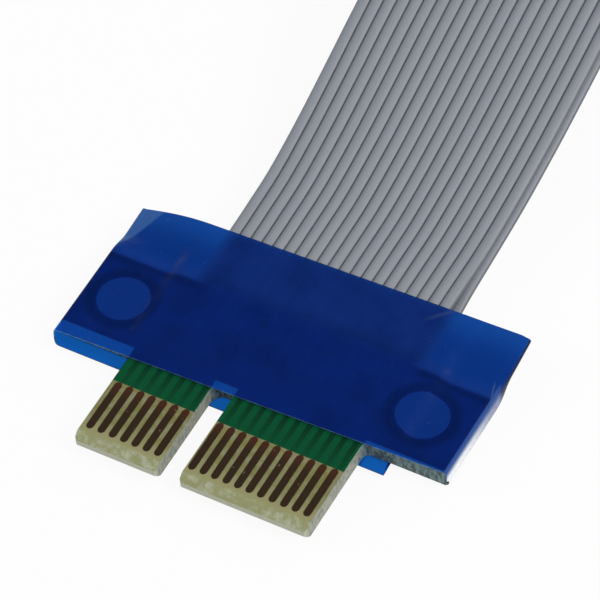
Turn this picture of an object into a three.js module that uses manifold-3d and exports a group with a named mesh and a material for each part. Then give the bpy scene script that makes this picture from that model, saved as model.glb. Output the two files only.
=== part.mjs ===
// Flexible riser cable for a one-lane expansion slot, in millimetres, +Z up.
// An edge plug board at -Y and a slot socket at +Y are joined by two stacked grey ribbons.
// Each board is wrapped, over its solder joints and the ribbon ends, in thin blue film.
// The origin is at the bottom centre of the riser as it lies, with X along the finger row.
import * as THREE from "three";
import { mergeVertices } from "three/addons/utils/BufferGeometryUtils.js";
import Module from "manifold-3d";

const wasm = await Module();
wasm.setup();

// Both boards
const boardThickness = 1.57;

// Finger rows, shared by the plug and the socket
const fingerPitch = 1.0; // standard contact pitch
const leftFingers = 7; // fingers on the short tab
const rightFingers = 11; // fingers on the long tab
const keyGap = 3.0; // centre to centre across the key notch
const fingerWidth = 0.6;
const fingerLength = 5.0;
const firstFingerX = -9.725; // first finger centre from the plug body's centre
const foilThickness = 0.04; // raised height of plated fingers and pads
const foilSink = 0.05; // how deep a fused detail reaches into its board
const cutPast = 1; // how far a cutting shape runs past the face that it cuts

// Plug board
const bodyWidth = 33.75;
const bodyDepth = 7.84; // shoulder to ribbon edge
const tabLength = 9.44; // tip to shoulder
const outerMarginLeft = 0.68; // finger centre to tab edge
const innerMarginLeft = 0.56;
const notchWidth = 1.99;
const outerMarginRight = 0.63;
const tipFlat = 0.55; // thickness left at the insertion edge
const tipBevelLength = 0.61; // length of the insertion bevel
const fingerSetback = 1.08; // tip to the ends of the fingers
const tabCornerBevel = 0.2;
const insideFillet = 0.6; // between tab and shoulder
const bodyCornerRadius = 0.4;
const holeDiameter = 4.3;
const holeMarginLeft = 3.29; // body's side to the hole's centre
const holeMarginRight = 4.0;

// Ribbons
const conductors = 20;
const conductorPitch = 1.018;
const ribbonThickness = 0.7;
const ribbonCentreX = 0.505; // front ribbon from the plug body's centre
const backRibbonShift = 0.35; // the back ribbon sits a little to the right
const wireRise = 0.25; // ribbon mid-plane above the face that it is soldered to
const ribbonSteps = 64;

// Solder joints of the stripped wire ends
const jointLength = 4.1;
const jointWidth = 0.56;
const jointHeight = 0.4;
const jointShoulder = 0.2; // from a joint's top down to where it spreads
const jointSetback = 0.15; // ribbon edge of the board to the joint
const bareWireWidth = 0.34;
const wireStrip = 1.2; // board's edge to the start of the insulation
const wireGap = 0.3; // bare wire's end to the insulation

// Film wraps
const filmThickness = 0.1;
const filmClearance = 0.1; // film to bare board
const coverClearance = 0.15; // film to joints and ribbons
const filmHeight = 14.15; // plug film, along the cable
const filmSlant = 0.03; // rise of its lower edge for each unit of width
const filmLowerEdge = 8.28; // lower left corner, from the plug tip
const filmTailWidth = 5.0; // right end of the back, where the strip ends short
const filmTailRise = 1.35;
const filmTailStep = 0.3; // width of the step up to that end
const filmMargin = 0.8; // ribbon edge to where the film starts to come down
const filmRamp = 1.6; // length of the film's rise onto joints and ribbons
const filmRampLead = 2.1; // end of that rise ahead of the joints
const filmEdge = 0.1; // how far past a board its film stays open at the sides
const filmClosing = 2.6; // length over which the side folds then close
const wingGap = 0.3; // between front and back film at a closed fold
const plugFolds = { left: { rise: 0.31, droop: 6.0 }, right: { rise: 1.2, droop: 0.8 } };
const socketFolds = { left: { rise: 0.2, droop: 1.2 }, right: { rise: 0.2, droop: 1.2 } };
const wingStations = [0, 0.08, 0.3, 0.65, 1]; // places across a wing, from its fold to the ribbon
const boardStations = [0, 0.2, 0.4, 0.7, 1]; // places up the film over the board
const flapStations = [0.12, 0.28, 0.5, 0.75, 1]; // places up the film past the board

// Socket board
const socketMarginLeft = 4.25; // ribbons' side to the board's side
const socketMarginRight = 2.44;
const socketBoardDepth = 9.5;
const socketBoardGap = 0.3; // board edge to housing
const socketFilmPast = 6.0; // film past the board, over the ribbons
const padLength = 3.2;
const padWidth = 0.66;
const padSetback = 0.165; // board edge to the pad's end

// Socket housing
const housingEndWall = 2.05; // chamber's end to the housing's end
const housingDepth = 11.2;
const housingThickness = 7.6;
const housingEdgeBevel = 0.4;
const slotThickness = 1.75;
const slotDepth = 8.4;
const slotEndMargin = 0.95; // last contact centre to the chamber's end
const keyWidth = 1.6; // rib between the two chambers
const entryBevel = 0.5;
const channelWidth = 0.72; // contact channel in the chamber wall
const channelOuter = 2.3; // channel bottom from the slot's middle
const channelInner = 0.6; // where the channel passes the chamber's floor
const channelTop = 1.0; // channel end below the mouth
const reliefDepth = 0.5; // shallow relief of the board side, between the end feet
const reliefLip = 0.5; // wall left between the channels and the relief

// Socket contacts
const contactWidth = 0.56;
const contactThickness = 0.25;
const contactSeat = 0.02; // tail to pad
const contactBow = 0.62; // contact point from the slot's middle
const contactArm = 1.6; // root of the spring from the slot's middle
const contactTailReach = 0.5; // straight tail past the housing's back
const contactBend = 1.0; // length of the bend from tail to root
const contactRoot = 1.9; // straight root after the bend
const contactSpring = 3.2; // first stretch of the spring after the root
const contactSpringDrop = 0.3; // how far that stretch leans in
const contactPointDepth = 2.4; // contact point below the mouth
const contactTipDepth = 1.3; // end of the spring below the mouth
const contactTipRise = 0.5; // how far the end turns back out

// Colours
const laminate = { color: 0xa9aa7c, roughness: 0.55, metalness: 0 };
const blueFilm = { color: 0x0b3f9c, roughness: 0.2, metalness: 0, transparent: true, opacity: 0.85 };
const greyInsulation = { color: 0x8a8e94, roughness: 0.5, metalness: 0 };
const blackMoulding = { color: 0x17181a, roughness: 0.45, metalness: 0 };
const goldPlate = { color: 0xd9b45b, roughness: 0.3, metalness: 1 };

// The ribbons' middle lines as they lie, [y, z]: flat out of the plug, a low arch, flat into the socket
const frontRoute = [
  [-75.67, 2.67], [-73.0, 2.67], [-70.6, 2.69], [-68.1, 2.8], [-64.6, 3.04], [-59.6, 4.12],
  [-54.6, 5.62], [-49.6, 7.27], [-44.6, 8.77], [-39.6, 10.02], [-33.1, 11.37], [-26.1, 12.42],
  [-18.1, 13.22], [-9.1, 13.62], [-0.1, 13.52], [8.9, 13.02], [17.9, 12.12], [26.9, 10.82],
  [35.9, 9.22], [43.9, 7.72], [51.9, 6.37], [58.9, 5.5], [64.9, 5.0], [68.9, 4.86], [71.95, 4.835],
];
const backRoute = [
  [-75.67, 0.6], [-73.5, 0.64], [-71.6, 0.84], [-69.6, 1.27], [-67.6, 1.74], [-64.6, 2.27],
  [-59.6, 3.335], [-54.6, 4.82], [-49.6, 6.47], [-44.6, 7.98], [-39.6, 9.235], [-33.1, 10.595],
  [-26.1, 11.65], [-18.1, 12.455], [-9.1, 12.86], [-0.1, 12.76], [8.9, 12.26], [17.9, 11.355],
  [26.9, 10.05], [35.9, 8.45], [43.9, 6.94], [51.9, 5.5], [58.9, 4.25], [64.9, 3.25],
  [68.9, 2.83], [71.95, 2.765],
];

// Sizes that follow from the ones above; both ends of the riser stand at the ends of the ribbons
const plugBoardBottom = wireRise + ribbonThickness / 2 + coverClearance + filmThickness;
const plugLength = tabLength + bodyDepth;
const plugY = frontRoute[0][0] - wireStrip - plugLength;
const socketMidZ = housingThickness / 2;
const socketEdgeY = frontRoute[frontRoute.length - 1][0] + wireStrip;
const housingBackY = socketEdgeY + socketBoardDepth + socketBoardGap;
const bareWireReach = wireStrip - wireGap;
const ribbonWidth = conductors * conductorPitch;
const ribbonsLeft = ribbonCentreX - ribbonWidth / 2;
const ribbonsRight = ribbonCentreX + backRibbonShift + ribbonWidth / 2;
const socketBoardLeft = ribbonsLeft - socketMarginLeft;
const socketBoardRight = ribbonsRight + socketMarginRight;
const socketCentreX = (socketBoardLeft + socketBoardRight) / 2;

// A closed geometry as a solid that can be joined and cut
function toSolid(geometry) {
  const bare = geometry.index ? geometry.toNonIndexed() : geometry.clone();
  bare.deleteAttribute("normal");
  bare.deleteAttribute("uv");
  const merged = mergeVertices(bare, 1e-5);
  return new wasm.Manifold(new wasm.Mesh({
    numProp: 3,
    vertProperties: new Float32Array(merged.attributes.position.array),
    triVerts: new Uint32Array(merged.index.array),
  }));
}

function toGeometry(solid) {
  const mesh = solid.getMesh();
  const geometry = new THREE.BufferGeometry();
  geometry.setAttribute("position", new THREE.BufferAttribute(mesh.vertProperties, 3));
  geometry.setIndex(new THREE.BufferAttribute(mesh.triVerts, 1));
  geometry.computeVertexNormals();
  return geometry;
}

// A shape drawn in (x, y), swept along Z
function alongZ(shape, from, to, curveSegments = 4) {
  const options = { depth: to - from, bevelEnabled: false, curveSegments };
  return new THREE.ExtrudeGeometry(shape, options).translate(0, 0, from);
}

// A shape drawn in (y, z), swept along X
function alongX(shape, from, to) {
  const turn = new THREE.Matrix4().set(0, 0, 1, 0, 1, 0, 0, 0, 0, 1, 0, 0, 0, 0, 0, 1);
  return alongZ(shape, from, to).applyMatrix4(turn);
}

// A shape drawn in (z, x), swept along Y
function alongY(shape, from, to) {
  const turn = new THREE.Matrix4().set(0, 1, 0, 0, 0, 0, 1, 0, 1, 0, 0, 0, 0, 0, 0, 1);
  return alongZ(shape, from, to).applyMatrix4(turn);
}

// A block from its lowest to its highest corner
function block(x0, x1, y0, y1, z0, z1) {
  return new THREE.BoxGeometry(x1 - x0, y1 - y0, z1 - z0)
    .translate((x0 + x1) / 2, (y0 + y1) / 2, (z0 + z1) / 2);
}

function polygon(points) {
  return new THREE.Shape(points.map(([a, b]) => new THREE.Vector2(a, b)));
}

function part(name, geometry, look) {
  const mesh = new THREE.Mesh(geometry, new THREE.MeshStandardMaterial(look));
  mesh.name = name;
  return mesh;
}

// Centres of the contacts in a row, short tab first
function fingerCentres() {
  const centres = [];
  for (let i = 0; i < leftFingers; i += 1) {
    centres.push(firstFingerX + i * fingerPitch);
  }
  const secondStart = firstFingerX + (leftFingers - 1) * fingerPitch + keyGap;
  for (let i = 0; i < rightFingers; i += 1) {
    centres.push(secondStart + i * fingerPitch);
  }
  return centres;
}

// Outline of the plug board, tip at y = 0 and body centred on x = 0
function plugOutline() {
  const centres = fingerCentres();
  const leftTab = [centres[0] - outerMarginLeft, centres[leftFingers - 1] + innerMarginLeft];
  const rightTab = [leftTab[1] + notchWidth, centres[centres.length - 1] + outerMarginRight];
  const side = bodyWidth / 2;
  const r = insideFillet;
  const c = bodyCornerRadius;
  const b = tabCornerBevel;
  const outline = new THREE.Shape();
  outline.moveTo(leftTab[0] + b, 0);
  outline.lineTo(leftTab[1] - b, 0);
  outline.lineTo(leftTab[1], b);
  const notch = notchWidth / 2;
  outline.lineTo(leftTab[1], tabLength - notch);
  outline.absarc(leftTab[1] + notch, tabLength - notch, notch, Math.PI, 0, true);
  outline.lineTo(rightTab[0], b);
  outline.lineTo(rightTab[0] + b, 0);
  outline.lineTo(rightTab[1] - b, 0);
  outline.lineTo(rightTab[1], b);
  outline.lineTo(rightTab[1], tabLength - r);
  outline.absarc(rightTab[1] + r, tabLength - r, r, Math.PI, Math.PI / 2, true);
  outline.lineTo(side, tabLength);
  outline.lineTo(side, plugLength - c);
  outline.absarc(side - c, plugLength - c, c, 0, Math.PI / 2, false);
  outline.lineTo(c - side, plugLength);
  outline.absarc(c - side, plugLength - c, c, Math.PI / 2, Math.PI, false);
  outline.lineTo(-side, tabLength);
  outline.lineTo(leftTab[0] - r, tabLength);
  outline.absarc(leftTab[0] - r, tabLength - r, r, Math.PI / 2, 0, true);
  outline.lineTo(leftTab[0], b);
  outline.closePath();
  return outline;
}

// Wedge that bevels one face of the insertion edge; face is 1 for the front, -1 for the back
function tipBevel(face) {
  const mid = boardThickness / 2;
  const rise = (mid - tipFlat / 2) / tipBevelLength;
  const low = face * (tipFlat / 2 - rise * cutPast);
  const high = face * (mid + rise * cutPast);
  const points = [[-cutPast, mid + low], [tipBevelLength + cutPast, mid + high], [-cutPast, mid + high]];
  return alongX(polygon(face > 0 ? points : points.reverse()), -bodyWidth / 2, bodyWidth / 2);
}

// One plated finger or pad with round ends, on a face at height z
function platedPad(x, y0, y1, width, z, face) {
  const r = width / 2;
  const pad = new THREE.Shape();
  pad.moveTo(x + r, y0 + r);
  pad.lineTo(x + r, y1 - r);
  pad.absarc(x, y1 - r, r, 0, Math.PI, false);
  pad.lineTo(x - r, y0 + r);
  pad.absarc(x, y0 + r, r, Math.PI, 2 * Math.PI, false);
  const reach = [z - face * foilSink, z + face * foilThickness].sort((a, b) => a - b);
  return alongZ(pad, reach[0], reach[1], 2);
}

// One soldered wire end: a rounded fillet on the board, then bare wire past its edge
function solderJoint(x, edgeY, toRibbon, z, face) {
  const half = jointWidth / 2;
  const wire = bareWireWidth / 2;
  const top = z + face * jointHeight;
  const shoulder = top - face * jointShoulder;
  const base = z - face * foilSink;
  const fillet = [[base, x - half], [shoulder, x - wire], [top, x - wire / 2], [top, x + wire / 2],
    [shoulder, x + wire], [base, x + half]];
  const wireLow = z + face * (wireRise - wire);
  const wireHigh = z + face * (wireRise + wire / 2);
  const lead = [[wireLow, x - wire], [wireHigh, x - wire], [wireHigh, x + wire], [wireLow, x + wire]];
  const near = edgeY - toRibbon * jointSetback;
  const far = near - toRibbon * jointLength;
  const end = edgeY + toRibbon * bareWireReach;
  const order = (points) => polygon(face > 0 ? points.slice().reverse() : points);
  const filletSpan = [near, far].sort((a, b) => a - b);
  const leadSpan = [near - toRibbon * wire, end].sort((a, b) => a - b);
  return toSolid(alongY(order(fillet), ...filletSpan)).add(toSolid(alongY(order(lead), ...leadSpan)));
}

// Both rows of solder joints of a board whose ribbon edge is at edgeY
function solderRows(edgeY, toRibbon, bottomZ, topZ, centreX) {
  const rows = [];
  for (let i = 0; i < conductors; i += 1) {
    const x = centreX + (i - (conductors - 1) / 2) * conductorPitch;
    rows.push(solderJoint(x, edgeY, toRibbon, topZ, 1));
    rows.push(solderJoint(x + backRibbonShift, edgeY, toRibbon, bottomZ, -1));
  }
  return rows;
}

function plugBoard() {
  let board = toSolid(alongZ(plugOutline(), 0, boardThickness, 5));
  board = board.subtract(toSolid(tipBevel(1))).subtract(toSolid(tipBevel(-1)));
  for (const x of fingerCentres()) {
    const end = fingerSetback + fingerLength;
    board = board.add(toSolid(platedPad(x, fingerSetback, end, fingerWidth, boardThickness, 1)));
    board = board.add(toSolid(platedPad(x, fingerSetback, end, fingerWidth, 0, -1)));
  }
  for (const joint of solderRows(plugLength, 1, 0, boardThickness, ribbonCentreX)) {
    board = board.add(joint);
  }
  const drill = boardThickness + 2 * cutPast;
  const hole = new THREE.CylinderGeometry(holeDiameter / 2, holeDiameter / 2, drill, 32);
  hole.rotateX(Math.PI / 2).translate(0, tabLength + bodyDepth / 2, boardThickness / 2);
  for (const x of [holeMarginLeft - bodyWidth / 2, bodyWidth / 2 - holeMarginRight]) {
    board = board.subtract(toSolid(hole.clone().translate(x, 0, 0)));
  }
  return toGeometry(board);
}

function socketBoard() {
  const y1 = socketEdgeY + socketBoardDepth;
  const bottom = socketMidZ - boardThickness / 2;
  const top = socketMidZ + boardThickness / 2;
  let board = toSolid(block(socketBoardLeft, socketBoardRight, socketEdgeY, y1, bottom, top));
  for (const x of fingerCentres()) {
    board = board.add(toSolid(platedPad(x, y1 - padLength, y1 - padSetback, padWidth, top, 1)));
    board = board.add(toSolid(platedPad(x, y1 - padLength, y1 - padSetback, padWidth, bottom, -1)));
  }
  for (const joint of solderRows(socketEdgeY, -1, bottom, top, ribbonCentreX)) {
    board = board.add(joint);
  }
  return toGeometry(board);
}

// Flat ribbon with rounded sides, swept along its route
function ribbon(route, centreX) {
  const half = ribbonWidth / 2;
  const r = ribbonThickness / 2;
  const section = [];
  for (const side of [1, -1]) {
    for (let i = 0; i < 4; i += 1) {
      const angle = -Math.PI / 2 + i * Math.PI / 3;
      section.push([side * (half - r + r * Math.cos(angle)), side * r * Math.sin(angle)]);
    }
  }
  const path = new THREE.CatmullRomCurve3(route.map(([y, z]) => new THREE.Vector3(centreX, y, z)));
  const options = { steps: ribbonSteps, bevelEnabled: false, extrudePath: path };
  return new THREE.ExtrudeGeometry(polygon(section), options);
}

// Smooth rise from 0 to 1 between two values
function ease(from, to, value) {
  return THREE.MathUtils.smoothstep(value, Math.min(from, to), Math.max(from, to));
}

// Height of a film's sheet above the board's middle. Over the board the front and the back sheet
// mirror each other. Past it they close at the side folds, which rise towards the upper edge: the
// front sheet spans from the ribbon to the fold like a tent, and the back sheet hangs in between.
function sheetHeight(shape, x, y, face) {
  const { side, left, right, jointStart, folds } = shape;
  const flat = boardThickness / 2 + filmClearance;
  const joints = flat + jointHeight;
  const covered = boardThickness / 2 + wireRise + ribbonThickness / 2 + coverClearance;
  const inside = ease(left - filmRamp, left, x) * (1 - ease(right, right + filmRamp, x));
  const rampEnd = jointStart - filmRampLead;
  const overJoints = flat + (joints - flat) * ease(rampEnd - filmRamp, rampEnd, y);
  const lifted = overJoints + (covered - joints) * ease(0, bareWireReach, y);
  const overBoard = flat + (lifted - flat) * inside;

  const closed = ease(filmEdge, filmEdge + filmClosing, y);
  const risen = THREE.MathUtils.clamp((y - filmEdge) / (shape.upperEdge(x) - filmEdge), 0, 1);
  const isLeft = x < (left + right) / 2;
  const { rise, droop } = isLeft ? folds.left : folds.right;
  const fromFold = side - Math.abs(x);
  const foldHalf = flat + (wingGap / 2 - flat) * closed;
  if (face > 0) {
    const sheet = overBoard + (covered - overBoard) * risen;
    const drooped = 1 - Math.sin(Math.min(fromFold / droop, 1) * Math.PI / 2);
    return sheet + (rise * risen + foldHalf - sheet) * drooped;
  }
  const wing = isLeft ? side + left : side - right;
  const hung = Math.min(fromFold / wing, 1) ** 2;
  const foldBack = rise * risen - foldHalf;
  const sheet = foldBack + (-lifted - foldBack) * hung;
  return -overBoard + (sheet + overBoard) * closed;
}

// A film wrap as a flat sleeve around a board end. In its own frame y = 0 is the board's ribbon
// edge, +y runs along the ribbon and z = 0 is the board's middle. The columns run round the sleeve.
function filmWrap(shape) {
  const { side, left, right, lowerEdge, backLowerEdge, upperEdge, steps } = shape;
  const leftWing = wingStations.map((share) => -side + share * (side + left));
  const rightWing = wingStations.map((share) => side - share * (side - right));
  const third = (right - left) / 3;
  const frontX = [...leftWing, left + third, right - third, ...rightWing].sort((a, b) => a - b);
  const backX = [...frontX, ...steps].sort((a, b) => b - a);
  const columns = [];
  for (const [xs, face, low] of [[frontX, 1, lowerEdge], [backX, -1, backLowerEdge]]) {
    for (const x of xs) {
      const start = low(x);
      const end = upperEdge(x);
      const overBoard = boardStations.map((share) => start + share * (filmEdge - start));
      const past = flapStations.map((share) => filmEdge + share * (end - filmEdge));
      columns.push({ x, face, rows: [...overBoard, ...past] });
    }
  }
  const positions = [];
  for (const skin of [0, 1]) {
    for (const { x, face, rows } of columns) {
      for (const y of rows) {
        const outward = Math.abs(x) === side ? Math.sign(x) * filmThickness * skin : 0;
        positions.push(x + outward, y, sheetHeight(shape, x, y, face) + face * filmThickness * skin);
      }
    }
  }
  const count = boardStations.length + flapStations.length;
  const at = (skin, column, row) => (skin * columns.length + (column % columns.length)) * count + row;
  const index = [];
  const quad = (a, b, c, d) => index.push(a, b, c, a, c, d);
  for (let i = 0; i < columns.length; i += 1) {
    for (let j = 0; j < count - 1; j += 1) {
      quad(at(1, i, j), at(1, i + 1, j), at(1, i + 1, j + 1), at(1, i, j + 1));
      quad(at(0, i, j), at(0, i, j + 1), at(0, i + 1, j + 1), at(0, i + 1, j));
    }
    const last = count - 1;
    quad(at(1, i, 0), at(0, i, 0), at(0, i + 1, 0), at(1, i + 1, 0));
    quad(at(1, i, last), at(1, i + 1, last), at(0, i + 1, last), at(0, i, last));
  }
  const sleeve = new THREE.BufferGeometry();
  sleeve.setAttribute("position", new THREE.Float32BufferAttribute(positions, 3));
  sleeve.setIndex(index);
  sleeve.computeVertexNormals();
  return sleeve;
}

// The plug's film: its lower edge slants, and at the back it ends short of the right side
function plugFilm() {
  const start = filmLowerEdge - plugLength;
  const side = bodyWidth / 2 + filmClearance;
  const slant = (x) => start + (x + side) * filmSlant;
  const tail = side - filmTailWidth;
  return filmWrap({
    side,
    left: ribbonsLeft - filmMargin,
    right: ribbonsRight + filmMargin,
    folds: plugFolds,
    jointStart: -jointSetback - jointLength,
    lowerEdge: slant,
    backLowerEdge: (x) => (x > tail ? start + filmTailRise : start),
    upperEdge: (x) => slant(x) + filmHeight,
    steps: [tail, tail + filmTailStep],
  });
}

// The socket's film, drawn turned round, so the back ribbon's shift is to its left
function socketFilm() {
  const start = -socketBoardDepth;
  return filmWrap({
    side: socketBoardRight - socketCentreX + filmClearance,
    left: socketCentreX - ribbonsRight - filmMargin,
    right: socketCentreX - ribbonsLeft + filmMargin,
    folds: socketFolds,
    jointStart: start,
    lowerEdge: () => start,
    backLowerEdge: () => start,
    upperEdge: () => socketFilmPast,
    steps: [],
  });
}

// One chamber of the slot with its bevelled mouth
function slotChamber(x0, x1) {
  const half = slotThickness / 2;
  const mouth = half + entryBevel;
  const floor = housingDepth - slotDepth;
  const past = housingDepth + cutPast;
  const bevelStart = housingDepth - entryBevel;
  const profile = polygon([[floor, -half], [bevelStart, -half], [housingDepth, -mouth], [past, -mouth],
    [past, mouth], [housingDepth, mouth], [bevelStart, half], [floor, half]]);
  return toSolid(alongX(profile, x0, x1));
}

// Housing with its back at y = 0, its mouth at y = housingDepth and the slot's middle at z = 0
function socketHousing() {
  const centres = fingerCentres();
  const h = housingThickness / 2;
  const b = housingEdgeBevel;
  const profile = polygon([[0, -h], [housingDepth - b, -h], [housingDepth, b - h], [housingDepth, h - b],
    [housingDepth - b, h], [0, h]]);
  const keyX = centres[leftFingers - 1] + keyGap / 2;
  const first = centres[0] - slotEndMargin;
  const last = centres[centres.length - 1] + slotEndMargin;
  let housing = toSolid(alongX(profile, first - housingEndWall, last + housingEndWall));
  housing = housing.subtract(slotChamber(first, keyX - keyWidth / 2));
  housing = housing.subtract(slotChamber(keyX + keyWidth / 2, last));
  for (const x of centres) {
    for (const face of [-1, 1]) {
      const [low, high] = [face * channelInner, face * channelOuter].sort((a, c) => a - c);
      const half = channelWidth / 2;
      const top = housingDepth - channelTop;
      housing = housing.subtract(toSolid(block(x - half, x + half, -cutPast, top, low, high)));
    }
  }
  const inner = channelOuter + reliefLip;
  const outer = h + cutPast;
  for (const [low, high] of [[-outer, -inner], [inner, outer]]) {
    housing = housing.subtract(toSolid(block(first, last, -cutPast, reliefDepth, low, high)));
  }
  return toGeometry(housing).translate(0, housingBackY, socketMidZ);
}

// Middle line of one contact, [y, distance from the slot's middle]: tail, root, spring, contact point
function contactLine() {
  const tail = boardThickness / 2 + foilThickness + contactSeat + contactThickness / 2;
  const tailEnd = -socketBoardGap - padLength + padWidth / 2;
  const rootStart = contactTailReach + contactBend;
  const rootEnd = rootStart + contactRoot;
  return [[tailEnd, tail], [contactTailReach, tail], [rootStart, contactArm], [rootEnd, contactArm],
    [rootEnd + contactSpring, contactArm - contactSpringDrop],
    [housingDepth - contactPointDepth, contactBow + contactThickness / 2],
    [housingDepth - contactTipDepth, contactBow + contactTipRise]];
}

// A stamped and bent spring contact; face is 1 for the front row, -1 for the back row
function contact(x, face) {
  const line = contactLine().map(([y, z]) => new THREE.Vector2(y, z));
  const half = contactThickness / 2;
  const normals = line.map((point, i) => {
    const before = line[Math.max(i - 1, 0)];
    const after = line[Math.min(i + 1, line.length - 1)];
    const run = after.clone().sub(before).normalize();
    return new THREE.Vector2(-run.y, run.x);
  });
  const upper = line.map((point, i) => point.clone().addScaledVector(normals[i], half));
  const lower = line.map((point, i) => point.clone().addScaledVector(normals[i], -half));
  const loop = [...lower, ...upper.reverse()].map((point) => [point.x, face * point.y]);
  const outline = polygon(face > 0 ? loop : loop.reverse());
  return alongX(outline, x - contactWidth / 2, x + contactWidth / 2).translate(0, housingBackY, socketMidZ);
}

const riser = new THREE.Group();

const plugEnd = new THREE.Group();
plugEnd.position.set(0, plugY, plugBoardBottom);
plugEnd.add(part("plug_board", plugBoard(), laminate));
const plugWrap = part("plug_film", plugFilm(), blueFilm);
plugWrap.position.set(0, plugLength, boardThickness / 2);
plugEnd.add(plugWrap);
riser.add(plugEnd);

riser.add(part("ribbon_front", ribbon(frontRoute, ribbonCentreX), greyInsulation));
riser.add(part("ribbon_back", ribbon(backRoute, ribbonCentreX + backRibbonShift), greyInsulation));

riser.add(part("socket_board", socketBoard(), laminate));
const socketWrap = part("socket_film", socketFilm(), blueFilm);
socketWrap.rotation.z = Math.PI;
socketWrap.position.set(socketCentreX, socketEdgeY, socketMidZ);
riser.add(socketWrap);
riser.add(part("socket_housing", socketHousing(), blackMoulding));
fingerCentres().forEach((x, i) => {
  const number = String(i + 1).padStart(2, "0");
  riser.add(part(`contact_front_${number}`, contact(x, 1), goldPlate));
  riser.add(part(`contact_back_${number}`, contact(x, -1), goldPlate));
});

export default riser;
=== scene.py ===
"""Dresses the flexible riser cable: ribs, film, boards, contacts, studio and camera.

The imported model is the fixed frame. Lengths named in millimetres are turned into metres by MM.
"""

import logging
import math
from dataclasses import dataclass
from enum import Enum
from typing import Callable, Optional, Sequence

import bpy
import numpy as np
from mathutils import Matrix, Vector


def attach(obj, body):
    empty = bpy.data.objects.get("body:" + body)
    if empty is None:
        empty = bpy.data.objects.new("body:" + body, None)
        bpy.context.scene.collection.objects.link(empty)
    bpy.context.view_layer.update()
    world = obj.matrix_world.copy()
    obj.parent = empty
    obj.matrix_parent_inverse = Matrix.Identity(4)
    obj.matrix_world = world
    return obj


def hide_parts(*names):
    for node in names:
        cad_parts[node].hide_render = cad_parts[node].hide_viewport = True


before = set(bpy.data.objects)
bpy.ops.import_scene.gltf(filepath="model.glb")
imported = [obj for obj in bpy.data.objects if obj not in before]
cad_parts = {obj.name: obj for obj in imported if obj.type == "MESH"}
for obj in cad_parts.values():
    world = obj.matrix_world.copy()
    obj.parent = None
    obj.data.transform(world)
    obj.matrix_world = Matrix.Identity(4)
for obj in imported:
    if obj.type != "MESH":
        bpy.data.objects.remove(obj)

LOG = logging.getLogger("riser")
MM = 0.001
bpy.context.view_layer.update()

Point = tuple[float, float]
Colour = tuple[float, float, float]


class Face(Enum):
    """The two sides of a board, and the way each looks along Z."""

    FRONT = 1
    BACK = -1


class Slot(Enum):
    """Material slot names of the record; no piece here takes its finish from them."""

    FILM = "blue_film"
    RIBBON = "grey_insulation"


# Shader graphs


class Value:
    """A number on a shader socket, with the operators that add Math nodes."""

    def __init__(self, graph: "Graph", socket: bpy.types.NodeSocket) -> None:
        """Wraps a socket.

        Args:
            graph: The graph that the socket's node is in.
            socket: The output socket that gives the number.
        """
        self.graph = graph
        self.socket = socket

    def math(self, operation: str, *others: object) -> "Value":
        """Adds a Math node on this value.

        Args:
            operation: The Math node's operation.
            others: The node's other inputs.

        Returns:
            The node's result.
        """
        inputs = {i: value for i, value in enumerate((self, *others))}
        return self.graph.node("ShaderNodeMath", {"operation": operation}, inputs)

    def __add__(self, other: object) -> "Value":
        """Sum of two values."""
        return self.math("ADD", other)

    __radd__ = __add__

    def __sub__(self, other: object) -> "Value":
        """This value less another."""
        return self.math("SUBTRACT", other)

    def __rsub__(self, other: float) -> "Value":
        """A number less this value."""
        return (self * -1.0) + other

    def __mul__(self, other: object) -> "Value":
        """Product of two values."""
        return self.math("MULTIPLY", other)

    def __gt__(self, other: object) -> "Value":
        """1 where this value is the greater, else 0."""
        return self.math("GREATER_THAN", other)

    def __lt__(self, other: object) -> "Value":
        """1 where this value is the lesser, else 0."""
        return self.math("LESS_THAN", other)

    def size(self) -> "Value":
        """The value without its sign."""
        return self.math("ABSOLUTE")

    def power(self, exponent: float) -> "Value":
        """The value raised to a power."""
        return self.math("POWER", exponent)

    def wave(self, period: float) -> "Value":
        """The value's place in a period, from 0 to 1.

        Args:
            period: Length of one period, in the value's own unit.

        Returns:
            The fraction of the period that has passed.
        """
        return (self * (1.0 / period)).math("FLOORED_MODULO", 1.0)

    def ramp(self, start: float, end: float) -> "Value":
        """Smooth rise from 0 to 1 between two values of this one.

        Args:
            start: Where the result is 0.
            end: Where the result is 1. It may be below start.

        Returns:
            The eased share.
        """
        settings = {"interpolation_type": "SMOOTHSTEP"}
        inputs = {"Value": self, "From Min": start, "From Max": end, "To Min": 0.0, "To Max": 1.0}
        return self.graph.node("ShaderNodeMapRange", settings, inputs, "Result")

    def window(self, low: float, high: float, blur: float) -> "Value":
        """1 between two values and 0 outside them, with soft ends.

        Args:
            low: The lower end.
            high: The upper end.
            blur: Width of each soft end.

        Returns:
            The mask.
        """
        return self.ramp(low - blur, low + blur) * self.ramp(high + blur, high - blur)


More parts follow.
